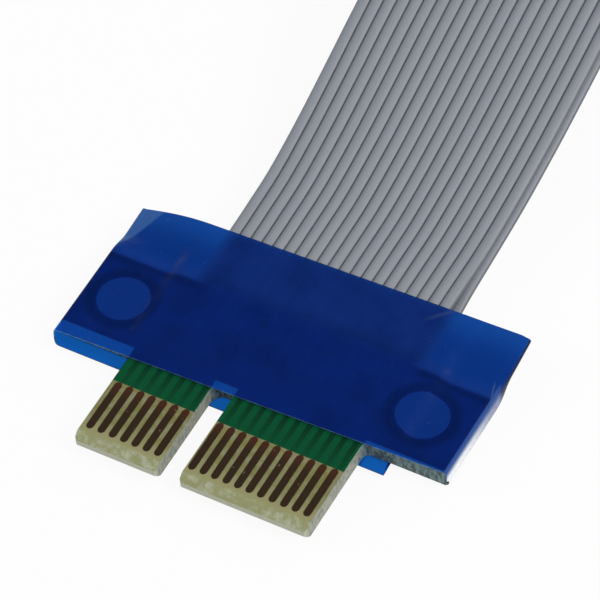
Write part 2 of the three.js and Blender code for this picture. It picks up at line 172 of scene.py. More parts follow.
class Graph:
    """The node tree of a material, or of the world."""

    def __init__(self, name: str, world: bool = False) -> None:
        """Starts an empty material or world.

        Args:
            name: Its name.
            world: Whether it is a world.
        """
        self.owner = (bpy.data.worlds if world else bpy.data.materials).new(name)
        self.owner.use_nodes = True
        self.tree = self.owner.node_tree
        self.tree.nodes.clear()
        kind = "World" if world else "Material"
        self.output = self.tree.nodes.new(f"ShaderNodeOutput{kind}")

    def node(
        self,
        kind: str,
        settings: Optional[dict[str, object]] = None,
        inputs: Optional[dict[object, object]] = None,
        output: object = 0,
    ) -> Value:
        """Adds any node.

        Args:
            kind: The node's type.
            settings: Its properties, which are set first.
            inputs: Numbers, colours or other nodes' results, by socket name or index.
            output: The output socket to return, by name or index.

        Returns:
            The chosen output.
        """
        made = self.tree.nodes.new(kind)
        for key, value in (settings or {}).items():
            setattr(made, key, value)
        for key, value in (inputs or {}).items():
            socket = made.inputs[key]
            if isinstance(value, Value):
                self.tree.links.new(value.socket, socket)
            elif isinstance(value, tuple) and len(value) == 3 and socket.type == "RGBA":
                socket.default_value = (*value, 1.0)
            else:
                socket.default_value = value
        return Value(self, made.outputs[output])

    def place(self) -> tuple[Value, Value, Value]:
        """Object coordinates in millimetres.

        Returns:
            X, Y and Z.
        """
        where = self.node("ShaderNodeTexCoord", output="Object")
        split = self.node("ShaderNodeSeparateXYZ", inputs={0: where}).socket.node
        return tuple(Value(self, split.outputs[i]) * (1.0 / MM) for i in range(3))

    def upright(self) -> Value:
        """How far the surface faces up or down, from 0 to 1."""
        normal = self.node("ShaderNodeNewGeometry", output="Normal")
        split = self.node("ShaderNodeSeparateXYZ", inputs={0: normal}, output=2)
        return split.size()

    def point(self, x: object, y: object, z: object) -> Value:
        """A vector made of three values."""
        return self.node("ShaderNodeCombineXYZ", inputs={0: x, 1: y, 2: z})

    def noise(self, vector: Value, scale: float, detail: float, roughness: float) -> Value:
        """Smooth noise from 0 to 1.

        Args:
            vector: Where it is read.
            scale: How many lumps there are in one unit.
            detail: How many finer layers it has.
            roughness: How strong they are.

        Returns:
            The noise.
        """
        inputs = {"Vector": vector, "Scale": scale, "Detail": detail, "Roughness": roughness}
        return self.node("ShaderNodeTexNoise", {"noise_dimensions": "3D"}, inputs, 0)

    def mix(self, share: object, first: object, second: object) -> Value:
        """A colour between two.

        Args:
            share: 0 for the first, 1 for the second.
            first: A colour.
            second: A colour.

        Returns:
            The mixed colour.
        """
        inputs = {0: share, 6: first, 7: second}
        return self.node("ShaderNodeMix", {"data_type": "RGBA"}, inputs, 2)

    def bump(self, height: Value, depth: float) -> Value:
        """A normal from a height.

        Args:
            height: The height, from 0 to 1.
            depth: What a height of 1 stands for, in metres.

        Returns:
            The normal.
        """
        return self.node("ShaderNodeBump", inputs={"Strength": 1.0, "Distance": depth, "Height": height})

    def surface(self, **inputs: object) -> Value:
        """A Principled shader.

        Args:
            inputs: Its sockets' values, with spaces in their names written as underscores.

        Returns:
            The shader.
        """
        named = {key.replace("_", " "): value for key, value in inputs.items()}
        return self.node("ShaderNodeBsdfPrincipled", inputs=named)

    def seen(self) -> Value:
        """1 for what the camera sees straight, mirrored or through glass, else 0."""
        rays = ("Camera", "Glossy", "Transmission")
        found = [self.node("ShaderNodeLightPath", output=f"Is {ray} Ray") for ray in rays]
        return (found[0] + found[1] + found[2]).math("MINIMUM", 1.0)

    def finish(self, shader: Value) -> bpy.types.ID:
        """Joins a shader to the output.

        Args:
            shader: The surface, or the world's background.

        Returns:
            The material or the world.
        """
        self.tree.links.new(shader.socket, self.output.inputs["Surface"])
        return self.owner


# Finishes


@dataclass(frozen=True)
class BoardFinish:
    """Glass and resin board with green mask, plated fingers and solder, painted by place."""

    name: str
    face_high: float
    face_low: float
    mask_from: float
    mask_to: float
    trace_start: float
    bevel_end: float
    shoulder_y: float
    laminate: Colour = (0.175, 0.170, 0.055)
    halo: Colour = (0.265, 0.262, 0.125)
    bevel: Colour = (0.275, 0.285, 0.135)
    blotch: Colour = (0.430, 0.450, 0.340)
    cut_edge: Colour = (0.340, 0.350, 0.285)
    cut_edge_dark: Colour = (0.175, 0.210, 0.185)
    shoulder_edge: Colour = (0.185, 0.265, 0.270)
    shoulder_dark: Colour = (0.065, 0.100, 0.108)
    tip: Colour = (0.480, 0.500, 0.390)
    mask: Colour = (0.0008, 0.072, 0.026)
    mask_dark: Colour = (0.0006, 0.022, 0.009)
    finger: Colour = (0.046, 0.027, 0.014)
    finger_top: Colour = (0.090, 0.030, 0.016)
    finger_rim: Colour = (0.018, 0.015, 0.006)
    speck: Colour = (0.240, 0.200, 0.120)
    solder: Colour = (0.430, 0.440, 0.450)
    trace_pitch: float = 1.0
    trace_shift: float = 0.45
    bevel_level: float = 0.5
    face_level: float = 0.9
    plating_step: float = 0.012
    solder_step: float = 0.06
    specular: float = 0.15
    relief: float = 0.00003

    def proud(self, z: Value, step: float) -> Value:
        """1 where the surface stands more than a step out of either face of the board."""
        outside = (z > self.face_high + step) + (z < self.face_low - step)
        return outside.math("MINIMUM", 1.0)

    def build(self) -> bpy.types.Material:
        """Makes the material.

        Returns:
            The material, for a board's own slot.
        """
        g = Graph(self.name)
        x, y, z = g.place()
        flat = g.upright()
        where = g.point(x, y, z)
        weave = g.noise(where, 1.3, 4.0, 0.6)
        grain = g.noise(where, 5.5, 3.0, 0.6)
        fibre = g.noise(g.point(x * 1.6, y * 1.6, z * 0.55), 2.6, 5.0, 0.65)
        edge = g.mix(fibre.ramp(0.42, 0.66), self.cut_edge, self.cut_edge_dark)
        shoulder = g.mix(fibre.ramp(0.42, 0.6), self.shoulder_edge, self.shoulder_dark)
        edge = g.mix(y.ramp(self.shoulder_y - 1.4, self.shoulder_y - 0.2), edge, shoulder)
        edge = g.mix(y.ramp(self.bevel_end - 0.5, self.bevel_end - 0.85), edge, self.tip)
        resin = g.mix(weave.ramp(0.35, 0.72) * 0.35, self.laminate, self.cut_edge)
        resin = g.mix(y.ramp(self.bevel_end + 1.9, self.bevel_end + 0.1), resin, self.halo)
        blotch = g.noise(where, 1.3, 5.0, 0.7)
        ground = g.mix(blotch.ramp(0.40, 0.66) * 0.8, self.bevel, self.blotch)
        base = g.mix(flat > self.bevel_level, edge, ground)
        is_face = flat > self.face_level
        soft_end = y.ramp(self.bevel_end - 0.5, self.bevel_end + (blotch - 0.5) * 0.8)
        base = g.mix(is_face, base, g.mix(soft_end, ground, resin))
        fade = y.ramp(self.trace_start - 1.0, self.trace_start + 3.2)
        phase = ((x - self.trace_shift).wave(self.trace_pitch) - 0.5).size()
        trace = phase.ramp(0.20, 0.34) * (fade * 0.8 + 0.2)
        green = g.mix(trace * 0.75 + grain.ramp(0.4, 0.75) * 0.18, self.mask, self.mask_dark)
        masked = is_face * (y > self.mask_from) * (y < self.mask_to)
        base = g.mix(masked, base, green)
        raised = self.proud(z, self.plating_step)
        soldered = self.proud(z, self.solder_step)
        finger_end = y.ramp(self.mask_from - 1.6, self.mask_from - 0.1)
        plating = g.mix(finger_end * 0.8, self.finger, self.finger_top)
        plating = g.mix(grain.ramp(0.5, 0.75) * 0.35, plating, self.finger_rim)
        worn = g.noise(g.point(x + 40, y, z), 1.7, 3.0, 0.6)
        plating = g.mix(worn.ramp(0.68, 0.74) * 0.6, plating, self.speck)
        # Painted shade: plating faces that don't face up are darkened.
        side_shade = 1 - flat.ramp(0.3, 0.8)
        plating = g.mix(side_shade * 0.7, plating, self.finger_rim)
        colour = g.mix(raised, base, plating)
        colour = g.mix(soldered, colour, self.solder)
        rough = 0.52 - masked * 0.20 - raised * 0.10 + grain * 0.10
        metal = raised * 0.45 + soldered * 0.4
        height = grain * 0.5 + fibre * 0.5
        shader = g.surface(
            Base_Color=colour,
            Roughness=rough,
            Metallic=metal,
            Specular_IOR_Level=self.specular,
            Normal=g.bump(height, self.relief),
        )
        return g.finish(shader)


@dataclass(frozen=True)
class FilmFinish:
    """Blue see-through film: part of the light passes tinted, the rest meets a glossy blue sheet.

    It looks darker where it sticks to the board and the ribbons, and paler where it hangs free. Light and
    shade are painted on it too: paler towards the free film's top edge, brighter below the shoulder, a
    painted shadow along the board's edge and round the holes, painted shade along the side folds, and a
    painted sheen on the plug's right side wall and left corner.
    """

    name: str
    edge_y: float
    towards: int
    left: float
    right: float
    side: float
    shoulder_y: float
    upper_y: float
    slant: float
    holes: tuple[Point, ...]
    tabs: tuple[Point, ...]
    tint: Colour = (0.10, 0.45, 0.857)
    stuck: Colour = (0.0040, 0.0300, 0.235)
    stuck_ribbon: Colour = (0.0085, 0.0430, 0.250)
    free: Colour = (0.0012, 0.031, 0.215)
    free_edge_lit: Colour = (0.0050, 0.062, 0.320)
    band: Colour = (0.0060, 0.060, 0.360)
    band_front: Colour = (0.0090, 0.110, 0.520)
    hole_shade: Colour = (0.0020, 0.0260, 0.190)
    shade: Colour = (0.0020, 0.0150, 0.095)
    fold_shade: Colour = (0.0020, 0.0080, 0.030)
    wall_top: Colour = (0.030, 0.080, 0.280)
    sheen: Colour = (0.86, 0.89, 0.93)
    sheen_deep: Colour = (0.20, 0.25, 0.42)
    corner_sheen: Colour = (0.045, 0.125, 0.355)
    streak: Colour = (0.060, 0.110, 0.260)
    board_middle: float = 1.635
    left_blend: Point = (2.6, 0.7)
    right_blend: Point = (-2.2, -0.5)
    pale_depth: float = 4.4
    hole_radius: float = 2.15
    hole_blur: float = 0.06
    ring_width: float = 0.9
    board_share: float = 0.46
    free_share: float = 0.92
    band_share: float = 0.36
    gloss: float = 0.22
    specular: float = 0.12
    relief: float = 0.0002
    creases: tuple[tuple[Point, Point, float, float], ...] = (
        ((9.0, -72.5), (10.5, -70.9), 0.3, 0.5),
        ((16.4, -75.6), (16.75, -76.9), 0.12, 0.6),
    )

    def crease(self, x: Value, y: Value, start: Point, end: Point, width: float) -> Value:
        """A soft pale line where the film is creased.

        Args:
            x: Place across.
            y: Place along.
            start: One end of the line.
            end: The other end.
            width: Half its width.

        Returns:
            Its mask.
        """
        run = Vector(end) - Vector(start)
        length = run.length
        run /= length
        along = (x - start[0]) * run.x + (y - start[1]) * run.y
        off = ((y - start[1]) * run.x - (x - start[0]) * run.y).size()
        return off.ramp(width, 0.0) * along.window(0.0, length, length * 0.3)

    def build(self) -> bpy.types.Material:
        """Makes the material.

        Returns:
            The material.
        """
        g = Graph(self.name)
        x, y, z = g.place()
        where = g.point(x, y, z)
        ripple = g.noise(where, 0.30, 3.0, 0.55)
        specks = g.noise(where, 2.4, 2.0, 0.5)
        past = (y - self.edge_y) * self.towards
        below_top = ((x + self.side) * self.slant - y + self.upper_y) * self.towards
        beside = x.ramp(*(self.left + off for off in self.left_blend))
        beside = beside + x.ramp(*(self.right + off for off in self.right_blend))
        beside = beside.math("MINIMUM", 1.0)
        wing = beside * past.ramp(-0.5, 1.5)
        over_band = ((y - self.shoulder_y) * self.towards).ramp(0.03, -0.03)
        for start, end in self.tabs:
            over_band = over_band * (1 - x.window(start, end, 0.05))
        # Painted light: the free film is painted paler towards its top edge, where more light reaches the
        # floor under it.
        pale = below_top.ramp(self.pale_depth, 0.0).power(1.5)
        colour = g.mix(past.ramp(-0.8, 1.2), self.stuck, self.stuck_ribbon)
        colour = g.mix(ripple.ramp(0.35, 0.7) * 0.35, colour, self.shade)
        colour = g.mix(wing, colour, g.mix(pale, self.free, self.free_edge_lit))
        edge_shade = past.window(-0.75, -0.1, 0.5) * beside
        colour = g.mix(edge_shade * 0.6, colour, self.shade)
        more = self.free_share - self.board_share
        share = beside * past.ramp(-0.3, 0.05) * more + self.board_share
        for hole in self.holes:
            away = g.point(x - hole[0], y - hole[1], 0.0)
            radius = g.node("ShaderNodeVectorMath", {"operation": "LENGTH"}, {0: away}, "Value")
            # Painted shadow: a darker ring round each hole. Over the hole the film is made nearly solid and
            # painted with the dim, shaded floor seen through it.
            ring = radius.window(self.hole_radius, self.hole_radius + self.ring_width, 0.35)
            inside = radius.ramp(self.hole_radius + self.hole_blur, self.hole_radius - self.hole_blur)
            colour = g.mix(ring * 0.55, colour, self.shade)
            colour = g.mix(inside, colour, self.hole_shade)
            share = share + inside * more
        # Below the shoulder the film has only the floor behind it and takes its own colours. These are
        # painted brighter too: painted light that offsets the board's shadow there.
        colour = g.mix(over_band, colour, g.mix(z > self.board_middle, self.band, self.band_front))
        share = share + over_band * (self.band_share - self.board_share)
        if self.holes:
            colour, share = self.marks(g, x, y, z, colour, share)
        # Painted shade: dark, solid lines along the side folds, on the right beyond the board's edge and on
        # the left beside the board.
        right_fold_shade = x.ramp(self.side + 0.08, self.side + 0.18) * past.ramp(0.5, 1.6)
        left_fold_shade = x.ramp(0.02 - self.side, -self.side - 0.1) * past.ramp(0.9, 0.1)
        above_shoulder = ((y - self.shoulder_y) * self.towards).ramp(0.0, 0.1)
        fold = (right_fold_shade + left_fold_shade) * above_shoulder
        colour = g.mix(fold, colour, self.fold_shade)
        share = share.math("MAXIMUM", fold)
        specked = specks.ramp(0.74, 0.78) * (1 - over_band)
        colour = g.mix(specked * 0.35, colour, self.streak)
        sheet = g.surface(
            Base_Color=colour,
            Roughness=self.gloss + specks * 0.08,
            Specular_IOR_Level=self.specular,
            Normal=g.bump(ripple, self.relief),
        )
        clear = g.node("ShaderNodeBsdfTransparent", inputs={"Color": self.tint})
        return g.finish(g.node("ShaderNodeMixShader", inputs={0: share, 1: clear, 2: sheet}))

    def marks(
        self, g: Graph, x: Value, y: Value, z: Value, colour: Value, share: Value
    ) -> tuple[Value, Value]:
        """Adds the painted sheen on the right side wall, the painted sheen on the left top corner and the
        creases of the plug's film.

        Args:
            g: The material's graph.
            x: Place across.
            y: Place along.
            z: Height.
            colour: The film's colour so far.
            share: The share of its solid sheet so far.

        Returns:
            The colour and the share with the marks on them.
        """
        # Painted sheen: where the film folds round the board, the right side wall is painted pale grey-blue
        # to near white. It is dark blue at its top, with painted shade in its lowest corner.
        side_sheen = x.ramp(self.side - 0.16, self.side - 0.04) * y.ramp(self.edge_y + 1.8, self.edge_y + 0.6)
        depth = y.ramp(self.edge_y + 0.5, self.shoulder_y + 2.0)
        wall = g.mix(depth, self.sheen_deep, self.sheen)
        wall = g.mix(z.ramp(1.7, 2.45), wall, self.wall_top)
        wall = g.mix(y.ramp(self.shoulder_y + 0.1, self.shoulder_y - 0.7), wall, self.fold_shade)
        colour = g.mix(side_sheen, colour, wall)
        share = share.math("MAXIMUM", side_sheen * 0.95)
        # Painted sheen on the left top corner, where the film droops towards the fold.
        inward = (x + self.side) - (y - self.edge_y) * 0.42 + 0.4
        corner = inward.ramp(0.25, -0.1) * y.ramp(self.edge_y + 0.2, self.edge_y + 1.6)
        colour = g.mix(corner * 0.8, colour, self.corner_sheen)
        share = share.math("MAXIMUM", corner * 0.9)
        lines = 0.0
        for start, end, width, strength in self.creases:
            lines = self.crease(x, y, start, end, width) * strength + lines
        return g.mix(lines.math("MINIMUM", 1.0), colour, self.streak), share


@dataclass(frozen=True)
class CutEdgeFinish:
    """The film's cut edge, where the light runs along the sheet and it looks almost black."""

    name: str = "film_cut_edge"
    base: Colour = (0.0030, 0.0120, 0.055)
    pale: Colour = (0.130, 0.260, 0.480)
    plug_lower: float = -84.0

    def build(self) -> bpy.types.Material:
        """Makes the material.

        Returns:
            The material.
        """
        g = Graph(self.name)
        x, y, z = g.place()
        catch = g.noise(g.point(x, y, z), 1.2, 2.0, 0.5).ramp(0.35, 0.65)
        # Painted highlight: low on the plug, the upper sheet's cut edge is painted pale where light catches
        # it.
        lit = (y < self.plug_lower) * (z > 1.6) * (catch * 0.5 + 0.5)
        shader = g.surface(
            Base_Color=g.mix(lit, self.base, self.pale),
            Roughness=0.45 + catch * 0.1,
            Specular_IOR_Level=0.1,
        )
        return g.finish(shader)


@dataclass(frozen=True)
class Narrowing:
    """How a ribbon draws in towards its soldered end at the plug, in millimetres."""

    plug_y: float = -73.0
    end_y: float = -46.0
    share: float = 0.048
    shift: float = -0.24

    def at(self, y: float) -> tuple[float, float]:
        """The ribbon's width share and sideways shift at a place along it."""
        near_plug = 1 - eased(self.plug_y, self.end_y, y)
        return 1 - near_plug * self.share, near_plug * self.shift


@dataclass(frozen=True)
class RibbonFinish:
    """Satin grey insulation; painted shade darkens each conductor's -X side and its edges, and painted dark
    lines mark the grooves between the conductors.
    """

    name: str
    centre: float
    pitch: float
    narrowing: Narrowing
    crest: Colour = (0.236, 0.255, 0.292)
    groove_shade_and_grain: Colour = (0.070, 0.080, 0.098)
    flank_shade: Colour = (0.130, 0.144, 0.172)
    worn: Colour = (0.275, 0.296, 0.330)

    def build(self) -> bpy.types.Material:
        """Makes the material.

        Returns:
            The material.
        """
        g = Graph(self.name)
        x, y, z = g.place()
        near_plug = y.ramp(self.narrowing.end_y, self.narrowing.plug_y)
        offset = x - self.centre - near_plug * self.narrowing.shift
        lane = offset.math("DIVIDE", 1 - near_plug * self.narrowing.share).wave(self.pitch)
        across = (lane - 0.5).size()
        streak = g.noise(g.point(x * 1.4, y * 0.05, z * 0.05), 2.0, 3.0, 0.6)
        grain = g.noise(g.point(x, y, z), 4.0, 4.0, 0.6)
        base = g.mix(streak.ramp(0.3, 0.7) * 0.4, self.crest, self.worn)
        # Random dark flecks of the grain, a real tone, share the dark colour of the painted grooves.
        base = g.mix(grain.ramp(0.6, 0.85) * 0.25, base, self.groove_shade_and_grain)
        # Painted shade: each conductor is darker on its -X side, away from the key lamp, and darker towards
        # its edges.
        base = g.mix(lane.ramp(0.62, 0.04) * 0.42 + across.ramp(0.30, 0.5) * 0.25, base, self.flank_shade)
        # Painted shade: a dark line where each pair of conductors meet, in the grooves.
        base = g.mix(across.ramp(0.41, 0.49) * 0.75, base, self.groove_shade_and_grain)
        shader = g.surface(
            Base_Color=base,
            Roughness=0.46 + grain * 0.12,
            Normal=g.bump(grain, 0.00002),
        )
        return g.finish(shader)


@dataclass(frozen=True)
class MouldingFinish:
    """Black moulded plastic with a fine spark-eroded grain."""

    name: str = "black_moulding"
    base: Colour = (0.012, 0.012, 0.014)
    worn: Colour = (0.035, 0.035, 0.038)

    def build(self) -> bpy.types.Material:
        """Makes the material.

        Returns:
            The material.
        """
        g = Graph(self.name)
        where = g.point(*g.place())
        grain = g.noise(where, 9.0, 3.0, 0.6)
        cloud = g.noise(where, 0.5, 3.0, 0.6)
        shader = g.surface(
            Base_Color=g.mix(cloud.ramp(0.4, 0.8) * 0.5, self.base, self.worn),
            Roughness=0.38 + grain * 0.2,
            Normal=g.bump(grain, 0.00003),
        )
        return g.finish(shader)


@dataclass(frozen=True)
class PlatingFinish:
    """Thin gold plating over a stamped spring."""

    name: str = "spring_plating"
    base: Colour = (0.72, 0.50, 0.19)
    dull: Colour = (0.50, 0.33, 0.13)

    def build(self) -> bpy.types.Material:
        """Makes the material.

        Returns:
            The material.
        """
        g = Graph(self.name)
        x, y, z = g.place()
        brushed = g.noise(g.point(x * 3.0, y * 0.4, z * 3.0), 4.0, 3.0, 0.6)
        shader = g.surface(
            Base_Color=g.mix(brushed.ramp(0.3, 0.8), self.base, self.dull),
            Roughness=0.24 + brushed * 0.16,
            Metallic=0.95,
            Normal=g.bump(brushed, 0.00001),
        )
        return g.finish(shader)


# Pieces


def wipe_selection() -> None:
    """Deselects every object, so that the next operator acts on its own piece."""
    if bpy.context.object is not None and bpy.context.object.mode != "OBJECT":
        bpy.ops.object.mode_set(mode="OBJECT")
    bpy.ops.object.select_all(action="DESELECT")


def make_active(piece: bpy.types.Object) -> None:
    """Selects one object alone and makes it the active one.

    Args:
        piece: The object.
    """
    wipe_selection()
    piece.select_set(True)
    bpy.context.view_layer.objects.active = piece


def apply_modifier(piece: bpy.types.Object, kind: str, **settings: object) -> None:
    """Adds a modifier and applies it.

    Args:
        piece: The object that it shapes.
        kind: The modifier's type.
        settings: Its properties.
    """
    make_active(piece)
    modifier = piece.modifiers.new(kind.lower(), kind)
    for key, value in settings.items():
        setattr(modifier, key, value)
    bpy.ops.object.modifier_apply(modifier=modifier.name)


def smooth(piece: bpy.types.Object, degrees: float) -> None:
    """Shades a piece smooth, apart from edges sharper than an angle.

    Args:
        piece: The object.
        degrees: The angle.
    """
    make_active(piece)
    bpy.ops.object.shade_smooth_by_angle(angle=math.radians(degrees))


def dress(piece: bpy.types.Object, material: bpy.types.Material) -> None:
    """Gives every material slot of a piece one material.

    Args:
        piece: The object.
        material: The material.
    """
    if not piece.material_slots:
        piece.data.materials.append(material)
    for held in piece.material_slots:
        held.material = material


def spline_points(route: Sequence[Point], steps: int) -> np.ndarray:
    """Points at even parameter steps on a smooth curve through a route.

    Args:
        route: The route's own points, [y, z].
        steps: How many stretches the curve is cut into.

    Returns:
        The points, one more than the steps.
    """
    points = np.array(route, float)
    first = 2 * points[0] - points[1]
    last = 2 * points[-1] - points[-2]
    held = np.vstack([first, points, last])
    made = []
    for step in range(steps + 1):
        at = step / steps * (len(points) - 1)
        i = min(int(at), len(points) - 2)
        t = at - i
        p = held[i : i + 4]
        gap = np.linalg.norm(np.diff(p, axis=0), axis=1) ** 0.5
        start = (p[1] - p[0]) / gap[0] - (p[2] - p[0]) / (gap[0] + gap[1]) + (p[2] - p[1]) / gap[1]
        end = (p[2] - p[1]) / gap[1] - (p[3] - p[1]) / (gap[1] + gap[2]) + (p[3] - p[2]) / gap[2]
        start, end = start * gap[1], end * gap[1]
        bend = -3 * p[1] + 3 * p[2] - 2 * start - end
        twist = 2 * p[1] - 2 * p[2] + start + end
        made.append(p[1] + start * t + bend * t**2 + twist * t**3)
    return np.array(made)


@dataclass
class Ribbon:
    """One flat ribbon of moulded conductors, a free cord between the two boards."""

    name: str
    node: str
    centre: float
    route: Sequence[Point]
    narrowing: Narrowing
    conductors: int = 20
    pitch: float = 1.018
    thickness: float = 0.7
    web: float = 0.06
    end_web: float = 0.04
    roundness: float = 2.1
    points_per_conductor: int = 12
    steps: int = 150

    @property
    def width(self) -> float:
        """Width over all the conductors, in millimetres."""
        return self.conductors * self.pitch

    def section(self) -> list[Point]:
        """Closed outline across the ribbon: the top from left to right, then the bottom back.

        Returns:
            Pairs of the place across and the height.
        """
        half = self.thickness / 2
        top = []
        count = self.points_per_conductor
        total = self.conductors * count
        for i in range(total + 1):
            share = i % count / count
            across = math.sin(math.pi * (share - 0.5))
            crown = (1 - abs(across) ** self.roundness) ** (1 / self.roundness)
            web = self.web if 0 < i < total else self.end_web
            lane = min(i // count, self.conductors - 1)
            place = (lane + (across + 1) / 2 if i < total else self.conductors) * self.pitch - self.width / 2
            top.append((place, web + (half - web) * crown))
        return top + [(x, -z) for x, z in reversed(top)]

    def build(self, material: bpy.types.Material) -> bpy.types.Object:
        """Args:
            material: The insulation.

        Returns:
            The ribbon.
        """
        line = spline_points(self.route, self.steps)
        run = np.gradient(line, axis=0)
        run /= np.linalg.norm(run, axis=1)[:, None]
        section = self.section()
        count = len(section)
        vertices = []
        for (y, z), (dy, dz) in zip(line, run):
            share, shift = self.narrowing.at(y)
            for across, rise in section:
                x = self.centre + shift + across * share
                vertices.append((x * MM, (y - dz * rise) * MM, (z + dy * rise) * MM))
        faces = []
        for step in range(self.steps):
            a, b = step * count, (step + 1) * count
            faces += [(a + i, a + (i + 1) % count, b + (i + 1) % count, b + i) for i in range(count)]
        last = self.steps * count
        for i in range(count // 2 - 1):
            mirror = count - 1 - i
            faces.append((i, mirror, mirror - 1, i + 1))
            faces.append((last + i + 1, last + mirror - 1, last + mirror, last + i))
        mesh = bpy.data.meshes.new(self.name)
        mesh.from_pydata(vertices, [], faces)
        mesh.update()
        piece = bpy.data.objects.new(self.name, mesh)
        bpy.context.scene.collection.objects.link(piece)
        make_active(piece)
        bpy.ops.object.mode_set(mode="EDIT")
        bpy.ops.mesh.select_all(action="SELECT")
        bpy.ops.mesh.normals_make_consistent(inside=False)
        bpy.ops.object.mode_set(mode="OBJECT")
        smooth(piece, 60.0)
        dress(piece, material)
        path = [(self.centre * MM, y * MM, z * MM) for y, z in line]
        length = float(np.linalg.norm(np.diff(line, axis=0), axis=1).sum()) * MM
        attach(piece, "root")
        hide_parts(self.node)
        self.width * MM
        LOG.info("%s: %.1f mm long, %.2f mm wide", self.name, length / MM, self.width)
        return piece


@dataclass(frozen=True)
class SideFold:
    """How a film's side fold ends beyond the board: its rise, and how far in the front sheet droops."""

    rise: float
    droop: float


@dataclass(frozen=True)
class TailCut:
    """The slanted cut where the back of the plug's film ends short, in millimetres."""

    inner: float = 11.77
    outer: float = 12.08
    rise: float = 1.35
    blend: float = 1.2

    @property
    def split(self) -> float:
        """Place across that divides the long columns from the short ones."""
        return (self.inner + self.outer) / 2 + 0.1

    def shifted(self, x: float, above: float, spacing: float) -> float:
        """Moves the columns beside the cut onto it.

        Args:
            x: The column's place across.
            above: Height of its point above the lowest edge.
            spacing: Distance between two columns.

        Returns:
            The new place across.
        """
        if abs(x - self.split) > spacing:
            return x
        target = self.inner + (self.outer - self.inner) * max(0.0, 1 - above / self.rise)
        if x > self.split:
            target = self.inner + 0.02
        return x + (target - x) * (1 - eased(self.rise, self.rise + self.blend, above))


